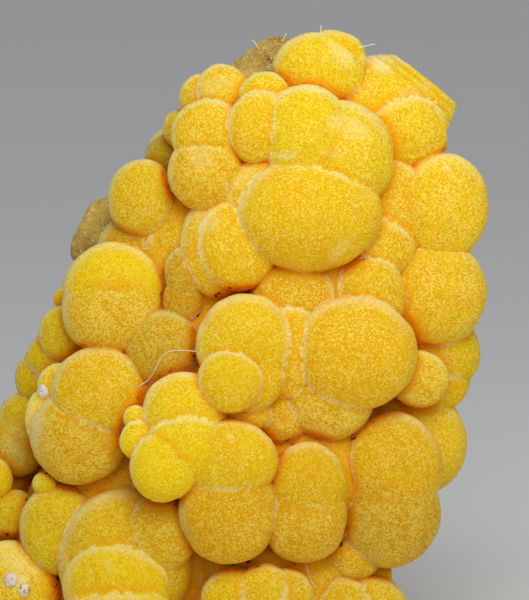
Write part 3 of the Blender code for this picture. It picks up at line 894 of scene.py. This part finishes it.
def grained(n, colour, chance):
    """Adds single grains, pale or amber, that gather in patches, and a painted sheen that whitens the upper
    rims facing the light and gathers more grains there.
    """
    patches = n.between(n.noise(GRAIN_PATCH, 3.0), *PATCH_BAND)
    lit = n.between(n.attribute("lit"), *LIT_BAND)
    rim = n.maths("MULTIPLY", n.between(n.attribute("rim"), *RIM_BAND), lit)
    gathering = n.maths("ADD", n.maths("MULTIPLY", patches, PATCH_PULL), n.maths("MULTIPLY", rim, RIM_PULL))
    gathering = n.maths("MULTIPLY", n.maths("ADD", gathering, EVEN_PULL), n.attribute("grain"))
    pull = n.maths("MULTIPLY", gathering, GRAIN_PULL)
    pale = n.between(n.maths("ADD", chance[0], pull), *PALE_BAND)
    amber = n.between(n.maths("ADD", chance[1], pull), *AMBER_BAND)
    colour = n.mix(amber, colour, AMBER)
    colour = n.mix(n.maths("MULTIPLY", pale, CREAM_SHARE), colour, CREAM)
    # Painted sheen: the upper rims that face the light are whitened
    painted_rim_sheen = n.maths("MULTIPLY", rim, n.between(chance[2], 0.0, 1.0, *RIM_SHARES))
    colour = n.mix(painted_rim_sheen, colour, WHITISH)
    spots = n.maths("MULTIPLY", n.attribute("pale"), n.between(chance[2], 0.0, 1.0, *PALE_SHARES))
    return n.mix(spots, colour, WHITISH), pale


def painted_crease_shade(n, colour, shelter):
    """Painted shade and painted glow: turns the creases orange, and deeper orange where the domes close in.
    """
    hollow = n.between(shelter, *HOLLOW_BAND)
    colour = n.mix(n.maths("MULTIPLY", hollow, HOLLOW_SHARE), colour, ORANGE)
    filling = n.maths("MULTIPLY", n.attribute("deep"), FILLING_SHARE)
    deepest = n.maths("ADD", n.between(shelter, *DEEPEST_BAND), filling, clamp=True)
    return n.mix(deepest, colour, DEEP_ORANGE)


def painted_edge_light(n, colour, chance):
    """Draws a painted sheen as a pale edge on the dome that stands before its neighbour, and painted shade as
    a darker orange line on the neighbour.
    """
    line = n.between(n.attribute("crease"), *EDGE_BAND, 1.0, 0.0)
    proud = n.attribute("proud")
    before = n.maths("MULTIPLY", line, n.between(proud, *BEFORE_BAND))
    behind = n.maths("MULTIPLY", line, n.between(proud, *BEHIND_BAND))
    painted_edge_sheen = n.maths("MULTIPLY", before, n.between(chance[2], 0.0, 1.0, *EDGE_SHARES))
    colour = n.mix(painted_edge_sheen, colour, WHITISH)
    return n.mix(n.maths("MULTIPLY", behind, BEHIND_SHARE), colour, ORANGE)


def layer_lines(n):
    """The fine layers that show below the plate's sloping break, from 0 to 1."""
    below = n.attribute("below_break")
    bent = n.maths("ADD", below, n.maths("MULTIPLY", n.noise(LAYER_BEND), LAYER_WANDER))
    wave = n.maths("SINE", n.maths("MULTIPLY", bent, LAYER_WAVES))
    lines = n.maths("MULTIPLY", n.between(wave, 0.0, 1.0), n.between(below, *LAYER_STOP, 1.0, 0.0))
    return n.maths("MULTIPLY", lines, n.between(below, *LAYER_START))


def crust_relief(n, layers):
    """Soft relief, with every grain's face tilted its own way so that it glitters."""
    width, depth = BROAD_RELIEF
    relief = n.bump(n.noise(width, 2.0), depth)
    width, depth = FINE_RELIEF
    relief = n.bump(n.noise(width, 3.0, 0.6), depth, relief)
    relief = n.bump(layers, LAYER_RELIEF, relief)
    facets = n.add("ShaderNodeVectorMath", operation="SUBTRACT")
    n.feed(facets.inputs[0], n.cells(GLITTER))
    facets.inputs[1].default_value = (0.5, 0.5, 0.5)
    tilted = n.add("ShaderNodeVectorMath", operation="MULTIPLY_ADD")
    n.feed(tilted.inputs[0], facets.outputs[0])
    tilted.inputs[1].default_value = (GLITTER_SHARE, GLITTER_SHARE, GLITTER_SHARE)
    n.feed(tilted.inputs[2], relief)
    level = n.add("ShaderNodeVectorMath", operation="NORMALIZE")
    n.feed(level.inputs[0], tilted.outputs[0])
    return level.outputs[0]


def crust_material():
    """Velvety yellow with pale grain and rusty specks in the deepest gaps, with painted shade and glow in
    orange along the creases, painted sheen on the upper rims and edges, and each dome's own tone darkened by
    painted shade.
    """
    made, tree, shader = new_material("velvety mimetite")
    n = Nodes(tree)
    shelter = n.attribute("shelter")
    chance = n.parts(n.cells(GRAIN))
    colour, pale = grained(n, base_tone(n), chance)
    # Painted shade and glow in the creases
    colour = painted_crease_shade(n, colour, shelter)
    # Painted sheen and painted shade where the domes meet
    colour = painted_edge_light(n, colour, chance)
    layers = layer_lines(n)
    colour = n.mix(n.maths("MULTIPLY", layers, LAYER_SHARE), colour, AMBER)
    specks = n.between(n.noise(SPECK, 2.0), *SPECK_BAND)
    specks = n.maths("MULTIPLY", specks, n.between(shelter, *SPECK_SHELTER))
    colour = n.mix(specks, colour, RUST)
    # Each dome's own tone and its painted shade scale the colour down
    shade = n.add("ShaderNodeVectorMath", operation="SCALE")
    n.feed(shade.inputs[0], colour)
    n.feed(shade.inputs["Scale"], n.attribute("tone_and_shade"))
    n.feed(shader.inputs["Base Color"], shade.outputs[0])
    n.feed(shader.inputs["Normal"], crust_relief(n, layers))
    n.feed(shader.inputs["Roughness"], n.between(pale, 0.0, 1.0, 0.55, 0.35))
    shader.inputs["Specular IOR Level"].default_value = 0.25
    shader.inputs["Specular Tint"].default_value = (1.0, 0.82, 0.25, 1.0)
    shader.inputs["Sheen Weight"].default_value = 0.25
    shader.inputs["Sheen Roughness"].default_value = 0.35
    shader.inputs["Sheen Tint"].default_value = (1.0, 0.7, 0.15, 1.0)
    shader.inputs["Subsurface Weight"].default_value = 0.6
    shader.inputs["Subsurface Radius"].default_value = (1.4, 0.5, 0.02)
    shader.inputs["Subsurface Scale"].default_value = MILLIMETRE
    return made


# The rock's patches are (how wide, detail, where it starts, where it is full), its relief (width, depth)
ROCK_TONES = (2.6, 4.0, 0.35, 0.6)
ROCK_STREAKS = (0.35, 3.0, 0.5, 0.7)
ROCK_RUST = (0.9, 3.0, 0.6, 0.72)
STREAK_SHARE = 0.5
RUST_SHARE = 0.7
ROCK_GRAIN_WIDTH = 0.12
DUST_BAND = (0.9, 0.99)
DUST_SHARE = 0.8
OLIVE_BAND = (0.4, 1.0)
OLIVE_SHARE = 0.6
ROCK_BUMPS = (0.5, 0.12)
ROCK_PITS = (0.14, 0.09)


def rock_patches(n, width, detail, start, full):
    return n.between(n.noise(width, detail), start, full)


def rock_material():
    """Brown iron oxide, dusted olive, with rusty patches and a few white grains."""
    made, tree, shader = new_material("rough iron oxide")
    n = Nodes(tree)
    colour = n.mix(rock_patches(n, *ROCK_TONES), BROWN, OLIVE)
    colour = n.mix(n.maths("MULTIPLY", rock_patches(n, *ROCK_STREAKS), STREAK_SHARE), colour, BROWN)
    colour = n.mix(n.maths("MULTIPLY", rock_patches(n, *ROCK_RUST), RUST_SHARE), colour, RUST)
    chance = n.parts(n.cells(ROCK_GRAIN_WIDTH))
    colour = n.mix(n.between(chance[0], *DUST_BAND, 0.0, DUST_SHARE), colour, DUST)
    colour = n.mix(n.maths("MULTIPLY", n.between(chance[1], *OLIVE_BAND), OLIVE_SHARE), colour, OLIVE)
    n.feed(shader.inputs["Base Color"], colour)
    width, depth = ROCK_BUMPS
    relief = n.bump(n.noise(width, 3.0), depth)
    width, depth = ROCK_PITS
    relief = n.bump(n.noise(width, 3.0, 0.6), depth, relief)
    n.feed(shader.inputs["Normal"], relief)
    shader.inputs["Roughness"].default_value = 0.7
    shader.inputs["Specular IOR Level"].default_value = 0.3
    return made


def crystal(row, number):
    """A six-sided crystal with a pointed end, with its foot in the crust."""
    across, up, out, half_width, length, lean_across, lean_up = row
    shape = bmesh.new()
    tip = CRYSTAL_TIP * length
    stem = length - tip + CRYSTAL_FOOT
    sizes = {"radius1": half_width, "radius2": half_width, "depth": stem}
    bmesh.ops.create_cone(shape, segments=6, cap_ends=True, **sizes)
    bmesh.ops.translate(shape, verts=shape.verts, vec=(0.0, 0.0, stem / 2 - CRYSTAL_FOOT))
    top = max(shape.faces, key=lambda face: face.calc_center_median().z)
    point = bmesh.ops.poke(shape, faces=[top])["verts"][0]
    point.co.z += tip
    direction = Vector((lean_across, -1.0, lean_up)).normalized()
    turn = direction.to_track_quat("Z", "X").to_matrix().to_4x4()
    scale = Matrix.Diagonal((MILLIMETRE, MILLIMETRE, MILLIMETRE, 1.0))
    place = Matrix.Translation(at_face(across, up, out)) @ face_turn() @ turn @ scale
    bmesh.ops.transform(shape, matrix=place, verts=shape.verts)
    return object_from(shape, f"crystal_{number}")


def make_crystals(rows, name):
    crystals = joined([crystal(row, number) for number, row in enumerate(rows)], name)
    bevel = crystals.modifiers.new("bevel", "BEVEL")
    bevel.width = CRYSTAL_BEVEL * MILLIMETRE
    bevel.segments = 2
    crystals.data.shade_smooth()
    crystals.data.set_sharp_from_angle(angle=math.radians(CRYSTAL_SHARP))
    return crystals


FROST_PATCH = 0.35
FROST_BAND = (0.25, 0.45)


def crystal_material():
    """Clear, with frosted streaks."""
    made, tree, shader = new_material("clear crystal")
    n = Nodes(tree)
    frost = n.between(n.noise(FROST_PATCH, 1.0), *FROST_BAND)
    n.feed(shader.inputs["Roughness"], n.between(frost, 0.0, 1.0, 0.05, 0.4))
    n.feed(shader.inputs["Transmission Weight"], n.between(frost, 0.0, 1.0, 1.0, 0.3))
    shader.inputs["Base Color"].default_value = (1.0, 0.97, 0.9, 1.0)
    shader.inputs["IOR"].default_value = 1.55
    return made


# The studio, in metres and watts
FLOOR_SIZE = 6.0
FLOOR_COLOUR = (0.8, 0.79, 0.77, 1.0)
STUDIO_COLOUR = (0.92, 0.95, 1.0, 1.0)
STUDIO_STRENGTH = 0.36
LIGHTS_AIM = (0.0, 0.0, 0.016)
KEY_LIGHT = ((0.012, -0.075, 0.11), 0.08, 0.09)
FRONT_LIGHT = ((0.06, -0.3, 0.1), 0.2, 0.11)


def make_stage():
    """A plain pale floor and soft studio light."""
    bpy.ops.mesh.primitive_plane_add(size=FLOOR_SIZE)
    floor = bpy.context.object
    floor.name = "floor"
    pale, tree, shader = new_material("pale floor")
    shader.inputs["Base Color"].default_value = FLOOR_COLOUR
    shader.inputs["Roughness"].default_value = 0.8
    floor.data.materials.append(pale)
    world = bpy.data.worlds.new("studio")
    world.use_nodes = True
    background = world.node_tree.nodes["Background"]
    background.inputs["Color"].default_value = STUDIO_COLOUR
    background.inputs["Strength"].default_value = STUDIO_STRENGTH
    bpy.context.scene.world = world
    bpy.context.scene.view_settings.view_transform = "Standard"
    area_light("key", *KEY_LIGHT)
    area_light("front", *FRONT_LIGHT)


def area_light(name, place, size, power):
    data = bpy.data.lights.new(name, "AREA")
    data.size = size
    data.energy = power
    light = bpy.data.objects.new(name, data)
    bpy.context.scene.collection.objects.link(light)
    light.location = place
    light.rotation_euler = (Vector(LIGHTS_AIM) - Vector(place)).to_track_quat("-Z", "Y").to_euler()


# The picture is 600 pixels high, 20 pixels to a millimetre, and looks square at this place of the face
PICTURE_HEIGHT = 600
PIXELS_PER_MILLIMETRE = 20.0
PICTURE_MIDDLE = (1.225, 18.0)
PICTURE_OUT = 4.0
CAMERA_DISTANCE = 320.0
SENSOR = 36.0
NEAR_CLIP = 0.01
FAR_CLIP = 10.0


def make_camera():
    data = bpy.data.cameras.new("camera")
    camera = bpy.data.objects.new("camera", data)
    bpy.context.scene.collection.objects.link(camera)
    height = PICTURE_HEIGHT / PIXELS_PER_MILLIMETRE
    data.sensor_fit = "AUTO"
    data.sensor_width = SENSOR
    data.lens = SENSOR * CAMERA_DISTANCE / height
    data.clip_start = NEAR_CLIP
    data.clip_end = FAR_CLIP
    camera.location = at_face(*PICTURE_MIDDLE, PICTURE_OUT + CAMERA_DISTANCE)
    camera.rotation_euler = (math.radians(90.0 - LEAN), 0.0, 0.0)
    bpy.context.scene.camera = camera


def main():
    crust = make_crust()
    crust.data.materials.append(crust_material())
    rock = make_rock()
    rock.data.materials.append(rock_material())
    upper = make_crystals(UPPER_CRYSTALS, "upper_crystal")
    lower = make_crystals(LOWER_CRYSTALS, "lower_crystals")
    bpy.context.view_layer.update()
    lint = make_lint([crust, rock])
    lint.data.materials.append(lint_material())
    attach(lint, "root")
    clear = crystal_material()
    upper.data.materials.append(clear)
    lower.data.materials.append(clear)
    for piece, node, slot in (
        (crust, "mimetite_crust", "mimetite"), (rock, "iron_oxide_matrix", "matrix"),
        (upper, "clear_crystal_upper", "clear_crystal"), (lower, "clear_crystals_lower", "clear_crystal"),
    ):
        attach(piece, "root")
        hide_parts(node)
    make_stage()
    make_camera()


main()
